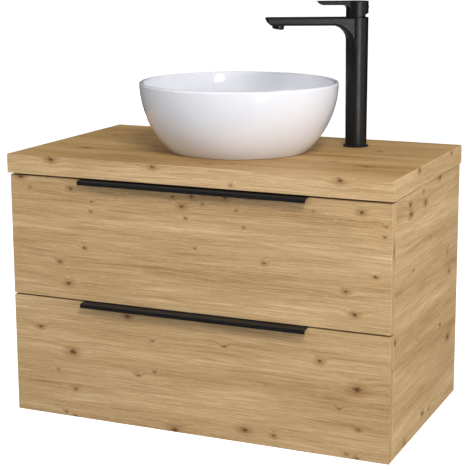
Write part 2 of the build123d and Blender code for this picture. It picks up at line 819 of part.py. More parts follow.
chamber_radius = 18.0
chamber_floor = 214.0
seat_thickness = 8.0
spout_underside = column_height - spout_thickness
spout_edge_radius = 5.5
spout_lid_radius = 3.5
tip_undercut = 12.0
tip_corner_radius = 7.0
channel_radius = 4.5
channel_height = column_height - 8.0
socket_radius = 10.0
socket_top = spout_underside + 6.0
root_low = spout_underside - spout_root_fillet
root_reach = column_top_radius + spout_root_fillet
upright_tap_axis = Axis((tap_x, tap_y, 0), (0, 0, 1))
with BuildPart() as spout:
    with BuildSketch(tap_section):
        with BuildLine():
            Line((0, column_height), (spout_length, column_height))
            ThreePointArc(
                (spout_length, column_height),
                (spout_length - 0.3 * tip_undercut, column_height - 0.58 * spout_thickness),
                (spout_length - tip_undercut, spout_underside),
            )
            Line((spout_length - tip_undercut, spout_underside), (0, spout_underside))
            Line((0, spout_underside), (0, column_height))
        make_face()
    extrude(amount=spout_root_half_width + 5, both=True)
    # The root flares out of the column like a trumpet.
    with BuildSketch(tap_section):
        with BuildLine():
            Polyline((0, spout_underside), (0, root_low), (column_top_radius, root_low))
            RadiusArc((column_top_radius, root_low), (root_reach, spout_underside), spout_root_fillet)
            Line((root_reach, spout_underside), (0, spout_underside))
        make_face()
    revolve(axis=upright_tap_axis)
    # The plan outline tapers to a rounded tip.
    with BuildSketch(tap_plan.offset(root_low)) as spout_outline:
        with BuildLine():
            Polyline(
                (0, -spout_root_half_width),
                (spout_length + 1, -spout_tip_half_width),
                (spout_length + 1, spout_tip_half_width),
                (0, spout_root_half_width),
                close=True,
            )
        make_face()
        fillet(corner(spout_outline, spout_length + 1, 0, 2), tip_corner_radius)
    extrude(amount=column_height - root_low, mode=Mode.INTERSECT)
    lid = spout.faces().sort_by(Axis.Z)[-1]
    tap_axis_edge = lid.edges().sort_by_distance((tap_x, tap_y, worktop_top + column_height))[0]
    fillet([edge for edge in lid.edges() if edge != tap_axis_edge], spout_lid_radius)
    underside = spout.faces().filter_by(Axis.Z).sort_by(Axis.Z)[1]
    long_edges = underside.edges().filter_by(GeomType.LINE).sort_by(SortBy.LENGTH)[-2:]
    fillet(long_edges, spout_edge_radius)

lean = radians(aerator_tilt)
aerator_up = Vector(-sin(lean) * pointing[0], -sin(lean) * pointing[1], cos(lean))
aerator_seat = tap_section.from_local_coords((aerator_distance, spout_underside, 0))
aerator_plan = Plane(origin=aerator_seat, x_dir=(pointing[1], -pointing[0], 0), z_dir=aerator_up)
aerator_line = Axis(aerator_seat, aerator_up)
collar_top = 1.7
collar_play = 0.15
with BuildPart() as tap_body:
    with BuildSketch(tap_section):
        with BuildLine():
            Polyline(
                (0, ring_height),
                (column_foot_radius, ring_height),
                (column_top_radius, spout_underside),
                (column_top_radius, column_height),
                (0, column_height),
                close=True,
            )
        make_face()
    revolve(axis=upright_tap_axis)
    fillet(tap_body.edges().group_by(Axis.Z)[-1], 0.6)
    add(spout.part)
    # Cartridge chamber above, hose space below, and the seat between them.
    with BuildSketch(tap_plan.offset(chamber_floor)):
        Circle(chamber_radius)
    extrude(amount=column_height - chamber_floor + 1, mode=Mode.SUBTRACT)
    with BuildSketch(tap_plan.offset(ring_height - 1)):
        Circle(chamber_radius)
    extrude(amount=chamber_floor - seat_thickness - ring_height + 1, mode=Mode.SUBTRACT)
    # The water channel along the spout, and the aerator's socket across its end.
    channel_start = tap_plan.from_local_coords((0, 0, channel_height))
    with BuildSketch(Plane(origin=channel_start, x_dir=(0, 0, 1), z_dir=pointing)):
        Circle(channel_radius)
    extrude(amount=aerator_distance + 4, mode=Mode.SUBTRACT)
    with BuildSketch(aerator_plan.offset(-4)):
        Circle(socket_radius)
    extrude(amount=socket_top - spout_underside + 4, mode=Mode.SUBTRACT)
    with BuildSketch(aerator_plan.offset(-4)):
        Circle(aerator_radius + collar_play)
    extrude(amount=collar_top + 4.1, mode=Mode.SUBTRACT)
keep(tap_body.part, "tap_body")

# ==== aerator: the collar in the spout and the jet insert inside it ====
aerator_drop = 7.5
aerator_bore = 8.5
mouth_radius = 3.2
insert_low = -6.4
insert_thickness = 5.0
with BuildPart() as aerator_collar:
    with BuildSketch(aerator_plan.offset(-aerator_drop)):
        Circle(aerator_radius)
    extrude(amount=aerator_drop + collar_top)
    mouth = aerator_collar.faces().sort_by(aerator_line)[0]
    fillet(mouth.edges(), mouth_radius)
    with BuildSketch(aerator_plan.offset(collar_top)):
        Circle(socket_radius - collar_play)
    extrude(amount=4)
    with BuildSketch(aerator_plan.offset(-aerator_drop - 1)):
        Circle(aerator_bore)
    extrude(amount=aerator_drop + collar_top + 6, mode=Mode.SUBTRACT)
keep(aerator_collar.part, "aerator_collar")

with BuildPart() as aerator_insert:
    with BuildSketch(aerator_plan.offset(insert_low)):
        Circle(aerator_bore - 0.1)
        Circle(0.8, mode=Mode.SUBTRACT)
        for ring_number in (1, 2, 3):
            with PolarLocations(2.1 * ring_number, 6 * ring_number):
                Circle(0.7, mode=Mode.SUBTRACT)
    extrude(amount=insert_thickness)
keep(aerator_insert.part, "aerator_insert")

# ==== mixer: cartridge, nut, dome, swivelling carrier ====
cartridge_top = 257.4
carrier_radius = 9.0
carrier_low = 252.0
carrier_top = 272.0
carrier_slot_floor = 261.0
nut_thickness = 6.0
dome_radius = 17.0
dome_wall = 1.6
dome_top = 274.0
dome_hole = 8.6
spindle_half_x = 4.0
spindle_half_y = 3.5
spindle_low = 262.5
spindle_top = 292.0
pin_radius = 1.5
with BuildPart() as cartridge:
    with BuildSketch(tap_plan.offset(chamber_floor)):
        Circle(chamber_radius - 0.3)
    extrude(amount=cartridge_top - chamber_floor)
    with BuildSketch(tap_plan.offset(carrier_low - 0.5)):
        Circle(carrier_radius + running_play)
    extrude(amount=cartridge_top - carrier_low + 1, mode=Mode.SUBTRACT)
keep(cartridge.part, "mixer_cartridge")

with BuildPart() as cartridge_nut:
    with BuildSketch(tap_plan.offset(cartridge_top)):
        Circle(chamber_radius - 0.1)
        Circle(carrier_radius + 0.6, mode=Mode.SUBTRACT)
        with PolarLocations(carrier_radius + 1.5, 4):
            Rectangle(3.5, 4, mode=Mode.SUBTRACT)
    extrude(amount=nut_thickness)
keep(cartridge_nut.part, "cartridge_nut")


def ball_width(radius, height):
    """Half-width of a ball about the lever's pivot, at a height over the pivot."""
    return (radius**2 - height**2) ** 0.5


dome_low = cartridge_top + nut_thickness + 0.2 - lever_pivot
dome_flat = dome_top - lever_pivot
dome_inner = dome_radius - dome_wall
tap_pivot_section = Plane(
    origin=(tap_x, tap_y, worktop_top + lever_pivot), x_dir=pointing, z_dir=(pointing[1], -pointing[0], 0)
)
with BuildPart() as dome:
    with BuildSketch(tap_pivot_section):
        with BuildLine():
            ThreePointArc(
                (ball_width(dome_radius, dome_low), dome_low),
                (dome_radius, 0),
                (ball_width(dome_radius, dome_flat), dome_flat),
            )
            Polyline(
                (ball_width(dome_radius, dome_flat), dome_flat),
                (dome_hole, dome_flat),
                (dome_hole, dome_flat - dome_wall),
                (ball_width(dome_inner, dome_flat - dome_wall), dome_flat - dome_wall),
            )
            ThreePointArc(
                (ball_width(dome_inner, dome_flat - dome_wall), dome_flat - dome_wall),
                (dome_inner, 0),
                (ball_width(dome_inner, dome_low), dome_low),
            )
            Line(
                (ball_width(dome_inner, dome_low), dome_low), (ball_width(dome_radius, dome_low), dome_low)
            )
        make_face()
    revolve(axis=upright_tap_axis)
keep(dome.part, "cartridge_dome")

with BuildPart() as carrier:
    with BuildSketch(tap_plan.offset(carrier_low)):
        Circle(carrier_radius)
    extrude(amount=carrier_top - carrier_low)
    with BuildSketch(tap_plan.offset(carrier_slot_floor)):
        Rectangle(2 * carrier_radius + 2, 2 * spindle_half_y + 0.2)
    extrude(amount=carrier_top - carrier_slot_floor + 1, mode=Mode.SUBTRACT)
    with BuildSketch(tap_pivot_section):
        Circle(pin_radius)
    extrude(amount=carrier_radius + 1, both=True, mode=Mode.SUBTRACT)
keep(carrier.part, "swivel_carrier")

with BuildPart() as pivot_pin:
    with BuildSketch(tap_pivot_section):
        Circle(pin_radius)
    extrude(amount=carrier_radius - 0.4, both=True)
keep(pivot_pin.part, "lever_pivot_pin")

with BuildPart() as spindle:
    with BuildSketch(tap_plan.offset(spindle_low)):
        Rectangle(2 * spindle_half_x, 2 * spindle_half_y)
    extrude(amount=spindle_top - spindle_low)
    with BuildSketch(tap_pivot_section):
        Circle(pin_radius + running_play)
    extrude(amount=spindle_half_y + 1, both=True, mode=Mode.SUBTRACT)
keep(spindle.part, "lever_spindle")

# ==== lever: hollow hub over the dome, with a flat blade ====
hub_bottom = column_height + lever_gap
hub_radius = column_top_radius
cavity_radius = dome_radius + 1.2
cavity_ceiling = 11.5  # over the pivot
cavity_low = -6.0
blade_root_half_width = 17.0
blade_tip_half_width = 11.0
blade_underside = lever_top - lever_thickness
blade_undercut = 15.0
blade_root_fillet = 9.0
blade_corner_radius = 5.0
wedge_start = -1.5
wedge_end = -40.0
screw_height = 284.0
screw_radius = 2.4
screw_axis_point = tap_plan.from_local_coords((0, 0, screw_height))
screw_line = Plane(origin=screw_axis_point, x_dir=(0, 0, 1), z_dir=pointing)
blade_root_low = blade_underside - blade_root_fillet
with BuildPart() as blade:
    with BuildSketch(tap_section):
        with BuildLine():
            Line((0, lever_top), (lever_reach, lever_top))
            ThreePointArc(
                (lever_reach, lever_top),
                (lever_reach - 0.38 * blade_undercut, lever_top - 0.72 * lever_thickness),
                (lever_reach - blade_undercut, blade_underside),
            )
            Line((lever_reach - blade_undercut, blade_underside), (0, blade_underside))
            Line((0, blade_underside), (0, lever_top))
        make_face()
    extrude(amount=blade_root_half_width + 5, both=True)
    with BuildSketch(tap_section):
        with BuildLine():
            Polyline((0, blade_underside), (0, blade_root_low), (hub_radius, blade_root_low))
            blade_flare = (hub_radius + blade_root_fillet, blade_underside)
            RadiusArc((hub_radius, blade_root_low), blade_flare, blade_root_fillet)
            Line(blade_flare, (0, blade_underside))
        make_face()
    revolve(axis=upright_tap_axis)
    with BuildSketch(tap_plan.offset(blade_root_low)) as blade_outline:
        with BuildLine():
            Polyline(
                (0, -blade_root_half_width),
                (lever_reach + 1, -blade_tip_half_width),
                (lever_reach + 1, blade_tip_half_width),
                (0, blade_root_half_width),
                close=True,
            )
        make_face()
        fillet(corner(blade_outline, lever_reach + 1, 0, 2), blade_corner_radius)
    extrude(amount=lever_top - blade_root_low, mode=Mode.INTERSECT)

with BuildPart() as lever:
    with BuildSketch(tap_plan.offset(hub_bottom)):
        Circle(hub_radius)
    extrude(amount=lever_top - hub_bottom)
    add(blade.part)
    fillet(lever.faces().sort_by(Axis.Z)[-1].outer_wire().edges(), 0.8)
    # The hollow that turns and tilts over the dome.
    with BuildSketch(tap_pivot_section):
        with BuildLine():
            ThreePointArc(
                (ball_width(cavity_radius, cavity_low), cavity_low),
                (cavity_radius, 0),
                (ball_width(cavity_radius, cavity_ceiling), cavity_ceiling),
            )
            Polyline(
                (ball_width(cavity_radius, cavity_ceiling), cavity_ceiling),
                (0, cavity_ceiling),
                (0, cavity_low),
                (ball_width(cavity_radius, cavity_low), cavity_low),
            )
        make_face()
    revolve(axis=upright_tap_axis, mode=Mode.SUBTRACT)
    # The wedge cut away behind, which lets the hub tilt.
    with BuildSketch(tap_section):
        with BuildLine():
            Polyline(
                (wedge_start, hub_bottom - 1),
                (wedge_end, hub_bottom - 1),
                (wedge_end, hub_bottom + (wedge_start - wedge_end) * tan(radians(lever_wedge_angle))),
                (wedge_start, hub_bottom),
                close=True,
            )
        make_face()
    extrude(amount=hub_radius + 5, both=True, mode=Mode.SUBTRACT)
    # The spindle's socket and the set screw's hole behind it.
    with BuildSketch(tap_plan.offset(lever_pivot + cavity_ceiling - 1)):
        Rectangle(2 * spindle_half_x + 0.1, 2 * spindle_half_y + 0.1)
    extrude(amount=spindle_top - lever_pivot - cavity_ceiling + 1.2, mode=Mode.SUBTRACT)
    with BuildSketch(screw_line):
        Circle(screw_radius)
    extrude(amount=-hub_radius - 5, mode=Mode.SUBTRACT)
keep(lever.part, "tap_lever")

with BuildPart() as set_screw:
    with BuildSketch(screw_line.offset(-hub_radius + 4)):
        Circle(screw_radius)
    extrude(amount=hub_radius - 4 - spindle_half_x)
keep(set_screw.part, "lever_set_screw")
with BuildPart() as screw_plug:
    with BuildSketch(screw_line.offset(-hub_radius + 3.5)):
        Circle(screw_radius)
    extrude(amount=-4.3)
    fillet(screw_plug.edges().sort_by(Axis((tap_x, tap_y, 0), pointing))[0], 0.6)
keep(screw_plug.part, "set_screw_plug")
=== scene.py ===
"""Looks of the wall-hung vanity with its vessel basin and tall mixer tap.

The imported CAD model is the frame; this script gives every node a procedural material and sets the floor,
lights and camera. Metres, in the CAD's own frame.
"""
import json
import math

import bpy
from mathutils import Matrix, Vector


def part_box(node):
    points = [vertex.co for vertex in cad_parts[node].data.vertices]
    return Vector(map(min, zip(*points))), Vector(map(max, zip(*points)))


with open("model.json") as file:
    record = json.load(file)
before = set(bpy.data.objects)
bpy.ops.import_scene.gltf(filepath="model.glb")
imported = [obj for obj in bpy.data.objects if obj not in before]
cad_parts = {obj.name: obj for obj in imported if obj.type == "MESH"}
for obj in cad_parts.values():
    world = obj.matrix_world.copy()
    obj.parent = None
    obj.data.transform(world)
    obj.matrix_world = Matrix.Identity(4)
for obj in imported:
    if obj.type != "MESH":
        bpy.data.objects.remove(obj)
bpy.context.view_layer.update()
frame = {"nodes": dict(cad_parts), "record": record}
nodes = frame["nodes"]


# ==== building node trees ====
class Tree:
    """One material's node tree, with short calls for the nodes that the materials need."""

    def __init__(self, name):
        self.material = bpy.data.materials.new(name)
        self.material.use_nodes = True
        self.nodes = self.material.node_tree.nodes
        self.links = self.material.node_tree.links
        self.nodes.clear()
        place = self.add("ShaderNodeTexCoord")
        self.place = place.outputs["Object"]
        self.normal = place.outputs["Normal"]

    def put(self, socket, value):
        """Link an output to an input, or set the input to a constant."""
        if isinstance(value, bpy.types.NodeSocket):
            self.links.new(value, socket)
        elif value is not None:
            socket.default_value = value

    def add(self, kind, *values, **settings):
        """A node with its settings and its first inputs filled in, in order."""
        node = self.nodes.new(kind)
        for key, value in settings.items():
            setattr(node, key, value)
        for socket, value in zip(node.inputs, values):
            self.put(socket, value)
        return node

    def math(self, operation, a, b=None, c=None, clamp=False):
        """A number worked out from up to three others."""
        return self.add("ShaderNodeMath", a, b, c, operation=operation, use_clamp=clamp).outputs[0]

    def split(self, vector):
        """The three parts of a vector."""
        return self.add("ShaderNodeSeparateXYZ", vector).outputs

    def join(self, x, y, z):
        """A vector from three numbers."""
        return self.add("ShaderNodeCombineXYZ", x, y, z).outputs[0]

    def pick(self, factor, a, b):
        """One of two numbers, or a blend of both."""
        node = self.add("ShaderNodeMix", data_type="FLOAT")
        self.put(node.inputs[0], factor)
        self.put(node.inputs[2], a)
        self.put(node.inputs[3], b)
        return node.outputs[0]

    def colour(self, factor, a, b, blend="MIX"):
        """Two colours blended. A colour is an output or three numbers."""
        node = self.add("ShaderNodeMix", data_type="RGBA", blend_type=blend)
        self.put(node.inputs[0], factor)
        for socket, value in ((node.inputs[6], a), (node.inputs[7], b)):
            self.put(socket, (*value, 1.0) if isinstance(value, tuple) else value)
        return node.outputs[2]

    def noise(self, vector, scale=1.0, detail=2.0, roughness=0.5):
        """Smooth noise, about 0.5 on average."""
        node = self.add("ShaderNodeTexNoise", noise_dimensions="3D")
        settings = (("Vector", vector), ("Scale", scale), ("Detail", detail), ("Roughness", roughness))
        for key, value in settings:
            self.put(node.inputs[key], value)
        return node.outputs[0]

    def step(self, value, low, high, to_low=0.0, to_high=1.0):
        """A smooth step from one level to another."""
        levels = (value, low, high, to_low, to_high)
        return self.add("ShaderNodeMapRange", *levels, interpolation_type="SMOOTHSTEP").outputs[0]

    def scaled(self, x, y, z):
        """The object's own coordinates, stretched."""
        return self.add("ShaderNodeVectorMath", self.place, (x, y, z), operation="MULTIPLY").outputs[0]

    def finish(self, colour, roughness, height=None, depth=0.0, strength=0.0, **values):
        """The shader itself, with a bump where a height is given. depth is in metres."""
        shader = self.add("ShaderNodeBsdfPrincipled")
        self.put(shader.inputs["Base Color"], colour)
        self.put(shader.inputs["Roughness"], roughness)
        for key, value in values.items():
            self.put(shader.inputs[key.replace("_", " ")], value)
        if height is not None:
            bump = self.add("ShaderNodeBump")
            self.put(bump.inputs["Strength"], strength)
            self.put(bump.inputs["Distance"], depth)
            self.put(bump.inputs["Height"], height)
            self.put(shader.inputs["Normal"], bump.outputs[0])
        out = self.add("ShaderNodeOutputMaterial")
        self.links.new(shader.outputs[0], out.inputs[0])
        return self.material


# ==== oak decor ====
WHITE = (1.0, 1.0, 1.0)
OAK_LIGHT = (0.690, 0.496, 0.284)
OAK_MIDDLE = (0.484, 0.321, 0.156)
OAK_DARK = (0.295, 0.170, 0.062)
OAK_LINE = (0.205, 0.108, 0.038)
DARK_TO_MIDDLE = (0.0, 0.52)  # the tones between which dark wood turns into middle wood
MIDDLE_TO_LIGHT = (0.45, 1.0)
EVEN_TONE = 0.5
DECOR_REPEAT = 0.6035  # the printed decor repeats along its grain
DECOR_SEAM = -0.4035  # where one repeat starts
FACING = 0.7  # a face looks along an axis if its normal has more than this of that axis
FACE_SHIFTS = (3.1, 5.3, 1.7)  # how far the noise is shifted on faces that look along X, Y and Z

# The grain's slow drift, with the scales of its noise, and its swelling round a knot, which begins and is
# full at these distances in knot radii.
DRIFT = 0.013
DRIFT_ALONG = 2.3
DRIFT_ACROSS = 7.0
SWELL = 0.007
SWELL_EDGE = (6.0, 0.3)

# Noise drawn out along the grain: its scale along the grain, its scale across, its detail, and a shift that
# sets it apart from the others. Then the levels of the noise where the layer begins and where it is full.
OAK_LAYERS = {
    "bands": ((1.6, 24.0, 3.0, 0.0), (0.30, 0.70)),
    "streaks": ((3.6, 130.0, 3.0, 7.0), (0.28, 0.72)),
    "threads": ((10.0, 480.0, 2.0, 37.0), (0.30, 0.70)),
    "fibres": ((22.0, 1100.0, 2.0, 13.0), (0.30, 0.70)),
    "pores": ((85.0, 2300.0, 1.0, 19.0), (0.40, 0.27)),
    "dashes": ((17.0, 620.0, 2.0, 41.0), (0.44, 0.30)),
    "flecks": ((60.0, 420.0, 1.0, 23.0), (0.62, 0.74)),
    "line_patches": ((3.0, 22.0, 2.0, 31.0), (0.50, 0.66)),
}
LAYER_ROUGHNESS = 0.55
LINES_PER_METRE = 62.0
LINE_WANDER = 5.0
LINE_WANDER_NOISE = (1.2, 9.0, 2.0, 29.0)
LINE_EDGE = (0.10, 0.0)
TONE_SHARES = (("streaks", 0.18), ("bands", 0.31), ("threads", 0.31), ("fibres", 0.20))
ZONE_ALONG = 3.2
ZONE_ACROSS = 11.0
ZONE_SHARE = 0.26
OVERLAYS = (
    ("flecks", 0.35, OAK_LIGHT),
    ("lines", 0.15, OAK_LINE),
    ("pores", 0.38, OAK_LINE),
    ("dashes", 0.26, OAK_LINE),
)

# Knots. An edge is two distances from the knot's middle, in knot radii: where the colour begins and where
# it is full. The core's edge is met sooner or later because the cracks' noise is added to the distance.
KNOT_HALO = (0.225, 0.098, 0.022)
KNOT_CORE = (0.058, 0.026, 0.007)
KNOT_STRETCH = 0.62  # knots are longer along the grain than across it
KNOT_SIZE = 0.88
KNOT_STRAY = 0.009  # how far a knot's outline strays, in metres
NO_KNOT = 40.0  # farther off than any knot shows
STRAY_NOISE = (330.0, 3.0, 0.6)
CRACK_NOISE = (520.0, 2.0, 0.6)
CRACK_SHIFT = 3.0
CRACK_DEPTH = 2.6
HALO_EDGE = (3.6, 0.4)
HALO_SHARE = 0.50
CORE_EDGE = (2.35, 1.55)
CORE_SHARE = 0.90

OAK_RELIEF = 0.00022
OAK_RELIEF_STRENGTH = 0.5
PORE_RELIEF = -0.8
FIBRE_RELIEF = 0.5
CORE_RELIEF = -0.7
OAK_ROUGHNESS = 0.44
STREAK_ROUGHNESS = 0.10
PORE_ROUGHNESS = 0.12
OAK_SPECULAR = 0.24


def board_coordinates(tree, lengthwise):
    """Coordinates along and across the grain on every face of a board, and a third that tells faces apart.

    lengthwise names the kind of board. The grain runs left to right on a "front" and a "top", and from the
    front to the back on a "side". The faces that look along the grain carry an edge band, whose grain runs
    along the band.
    """
    x, y, z = tree.split(tree.place)
    sides = [tree.math("ABSOLUTE", part) for part in tree.split(tree.normal)]
    on_x, on_y, on_z = (tree.math("GREATER_THAN", side, FACING) for side in sides)
    if lengthwise == "front":
        along = tree.pick(on_x, x, z)
        across = tree.pick(on_y, y, z)
    elif lengthwise == "side":
        along = tree.pick(on_y, y, z)
        across = tree.pick(on_x, x, z)
    else:
        along = tree.pick(on_x, x, y)
        across = tree.pick(on_z, z, y)
    faces = tree.join(on_x, on_y, on_z)
    spread = tree.add("ShaderNodeVectorMath", faces, FACE_SHIFTS, operation="DOT_PRODUCT")
    return along, across, spread.outputs["Value"]


def oak(name, lengthwise, knots, warmth=EVEN_TONE, seed=0.0, repeat=True, tint=WHITE):
    """Knotty oak decor with a fine pore texture. Each knot is (along, across, radius) in metres.

    More warmth makes the wood lighter, seed sets a board's grain apart from the others', repeat brings the
    knots back with every repeat of the printed decor, and tint is multiplied into the wood's colour.
    """
    tree = Tree(name)
    along, across, spread = board_coordinates(tree, lengthwise)
    third = tree.math("ADD", spread, seed)
    printed = along
    if repeat:
        printed = tree.math("WRAP", along, DECOR_SEAM + DECOR_REPEAT, DECOR_SEAM)

    # How far a point is from the nearest knot, in knot radii, with a ragged outline.
    ragged = tree.noise(tree.join(along, across, third), *STRAY_NOISE)
    crack = tree.noise(tree.join(along, across, tree.math("ADD", third, CRACK_SHIFT)), *CRACK_NOISE)
    offset = tree.math("MULTIPLY_ADD", ragged, KNOT_STRAY, -KNOT_STRAY / 2)
    knot_along = tree.math("MULTIPLY", tree.math("ADD", printed, offset), KNOT_STRETCH)
    knot_across = tree.math("SUBTRACT", across, offset)
    here = tree.join(knot_along, knot_across, 0.0)
    nearest = NO_KNOT
    for knot_x, knot_y, radius in knots:
        middle = (knot_x * KNOT_STRETCH, knot_y, 0.0)
        far = tree.add("ShaderNodeVectorMath", here, middle, operation="DISTANCE").outputs["Value"]
        nearest = tree.math("MINIMUM", tree.math("DIVIDE", far, radius * KNOT_SIZE), nearest)

    # The growth field: the grain drifts slowly and swells round the knots.
    slow_along = tree.math("MULTIPLY", along, DRIFT_ALONG)
    slow_across = tree.math("MULTIPLY", across, DRIFT_ACROSS)
    drift = tree.noise(tree.join(slow_along, slow_across, third))
    swell = tree.step(nearest, *SWELL_EDGE, 0.0, SWELL)
    field = tree.math("ADD", tree.math("MULTIPLY_ADD", drift, DRIFT, across), swell)

    def drawn_out(along_scale, across_scale, detail, shift):
        """Noise drawn out along the grain."""
        place = tree.join(
            tree.math("MULTIPLY", along, along_scale),
            tree.math("MULTIPLY", field, across_scale),
            tree.math("ADD", third, shift),
        )
        return tree.noise(place, 1.0, detail, LAYER_ROUGHNESS)

    layers = {}
    for kind, (scales, levels) in OAK_LAYERS.items():
        layers[kind] = tree.step(drawn_out(*scales), *levels)
    wander = tree.math("MULTIPLY", drawn_out(*LINE_WANDER_NOISE), LINE_WANDER)
    rings = tree.math("FRACT", tree.math("MULTIPLY_ADD", field, LINES_PER_METRE, wander))
    line = tree.step(tree.math("ABSOLUTE", tree.math("SUBTRACT", rings, 0.5)), *LINE_EDGE)
    layers["lines"] = tree.math("MULTIPLY", line, layers["line_patches"])

    # The tone, from 0 for the darkest wood to 1 for the lightest.
    tone = 0.0
    for kind, share in TONE_SHARES:
        tone = tree.math("MULTIPLY_ADD", layers[kind], share, tone)
    zone_along = tree.math("MULTIPLY", along, ZONE_ALONG)
    zone_across = tree.math("MULTIPLY", across, ZONE_ACROSS)
    zone = tree.noise(tree.join(zone_along, zone_across, third))
    tone = tree.math("ADD", tone, tree.math("MULTIPLY_ADD", zone, ZONE_SHARE, -ZONE_SHARE / 2))
    tone = tree.math("ADD", tone, warmth - EVEN_TONE, clamp=True)

    deep = tree.colour(tree.step(tone, *DARK_TO_MIDDLE), OAK_DARK, OAK_MIDDLE)
    wood = tree.colour(tree.step(tone, *MIDDLE_TO_LIGHT), deep, OAK_LIGHT)
    wood = tree.colour(1.0, wood, tint, blend="MULTIPLY")
    for kind, share, colour in OVERLAYS:
        wood = tree.colour(tree.math("MULTIPLY", layers[kind], share), wood, colour)
    halo = tree.math("MULTIPLY", tree.step(nearest, *HALO_EDGE), HALO_SHARE)
    wood = tree.colour(halo, wood, KNOT_HALO)
    cracked = tree.math("MULTIPLY_ADD", crack, CRACK_DEPTH, nearest)
    core = tree.math("MULTIPLY", tree.step(cracked, *CORE_EDGE), CORE_SHARE)
    wood = tree.colour(core, wood, KNOT_CORE)

    fibre_height = tree.math("MULTIPLY", layers["fibres"], FIBRE_RELIEF)
    height = tree.math("MULTIPLY_ADD", layers["pores"], PORE_RELIEF, fibre_height)
    height = tree.math("MULTIPLY_ADD", core, CORE_RELIEF, height)
    rough = tree.math("MULTIPLY_ADD", layers["pores"], PORE_ROUGHNESS, OAK_ROUGHNESS)
    rough = tree.math("MULTIPLY_ADD", layers["streaks"], STREAK_ROUGHNESS, rough)
    relief = (height, OAK_RELIEF, OAK_RELIEF_STRENGTH)
    return tree.finish(wood, rough, *relief, Specular_IOR_Level=OAK_SPECULAR)


FRONT_KNOTS = (
    (-0.376, 0.047, 0.0050), (-0.355, 0.026, 0.0018), (-0.262, 0.030, 0.0040), (-0.038, 0.031, 0.0030),
    (0.002, 0.034, 0.0036), (-0.019, 0.013, 0.0042), (0.025, 0.020, 0.0018), (0.072, 0.036, 0.0034),
    (0.094, 0.014, 0.0017), (-0.218, -0.012, 0.0020), (-0.216, 0.008, 0.0016), (-0.234, -0.087, 0.0028),
    (-0.291, -0.120, 0.0032), (-0.273, -0.162, 0.0044), (-0.012, -0.010, 0.0020), (0.008, -0.066, 0.0016),
    (0.150, -0.082, 0.0026), (0.109, -0.017, 0.0018), (-0.141, -0.217, 0.0046), (-0.341, -0.259, 0.0040),
    (-0.267, -0.304, 0.0070), (-0.087, -0.260, 0.0020), (0.067, -0.253, 0.0022), (-0.302, -0.346, 0.0017),
    (-0.120, -0.335, 0.0024), (-0.083, -0.324, 0.0018), (-0.263, -0.382, 0.0023), (-0.040, -0.437, 0.0062),
    (-0.287, -0.433, 0.0022), (-0.266, -0.438, 0.0026), (0.110, -0.415, 0.0058), (0.170, -0.418, 0.0030),
)
TOP_KNOTS = (
    (-0.297, -0.331, 0.0060), (-0.172, -0.262, 0.0045), (-0.372, -0.300, 0.0030), (0.020, -0.420, 0.0044),
    (-0.330, -0.150, 0.0040), (0.060, -0.395, 0.0030),
)
EDGE_KNOTS = (
    (-0.302, 0.086, 0.0046), (-0.305, 0.092, 0.0030), (-0.078, 0.086, 0.0036), (0.086, 0.062, 0.0020),
)
SIDE_KNOTS = (
    (-0.150, 0.048, 0.0040), (-0.262, 0.039, 0.0032), (-0.248, 0.015, 0.0050), (-0.348, 0.029, 0.0052),
    (-0.341, 0.010, 0.0060), (-0.321, -0.102, 0.0024), (-0.065, -0.162, 0.0036), (-0.081, -0.118, 0.0030),
    (-0.064, -0.303, 0.0064), (-0.125, -0.261, 0.0034), (-0.431, -0.214, 0.0060), (-0.239, -0.413, 0.0052),
    (-0.197, -0.418, 0.0032), (-0.358, -0.432, 0.0036), (-0.205, -0.060, 0.0020), (-0.280, -0.250, 0.0020),
)
RAIL_KNOTS = (
    (-0.210, 0.020, 0.0050), (0.120, -0.380, 0.0060), (-0.050, -0.200, 0.0040), (0.060, 0.036, 0.0030),
)


# ==== other materials ====
GLAZE = (0.700, 0.705, 0.752)
GLAZE_LIGHT = (0.730, 0.735, 0.778)
GLAZE_SPECK = (0.62, 0.60, 0.58)
COATING = (0.0045, 0.0045, 0.0048)
COATING_LIGHT = (0.0060, 0.0060, 0.0064)
COATING_ROUGHNESS = 0.39
COATING_PATCHES = 0.07  # how much the roughness varies
PROFILE = (0.006, 0.006, 0.0065)
PROFILE_LIGHT = (0.011, 0.011, 0.012)
CHROME = (0.78, 0.79, 0.81)
CHROME_MARKED = (0.70, 0.71, 0.73)
BRASS = (0.80, 0.58, 0.27)
BRASS_MARKED = (0.52, 0.35, 0.15)
ZINC = (0.52, 0.55, 0.60)
ZINC_WIPED = (0.66, 0.67, 0.68)
ZINC_SPANGLE = (0.72, 0.73, 0.76)
WHITE_PLASTIC = (0.78, 0.78, 0.77)
WHITE_PLASTIC_FLOW = (0.84, 0.84, 0.83)
GREY_PLASTIC = (0.30, 0.31, 0.32)
GREY_PLASTIC_FLOW = (0.38, 0.39, 0.40)
FLOW_MARKS = 0.12  # how much a plastic's roughness varies
RUBBER = (0.018, 0.018, 0.018)
RUBBER_DUST = (0.055, 0.054, 0.052)
BOARD = (0.070, 0.071, 0.075)
BOARD_THREAD = (0.135, 0.137, 0.142)
BOARD_SLUB = (0.095, 0.093, 0.092)
NOISE_SPAN = (0.3, 0.7)  # nearly all values of a noise lie between these


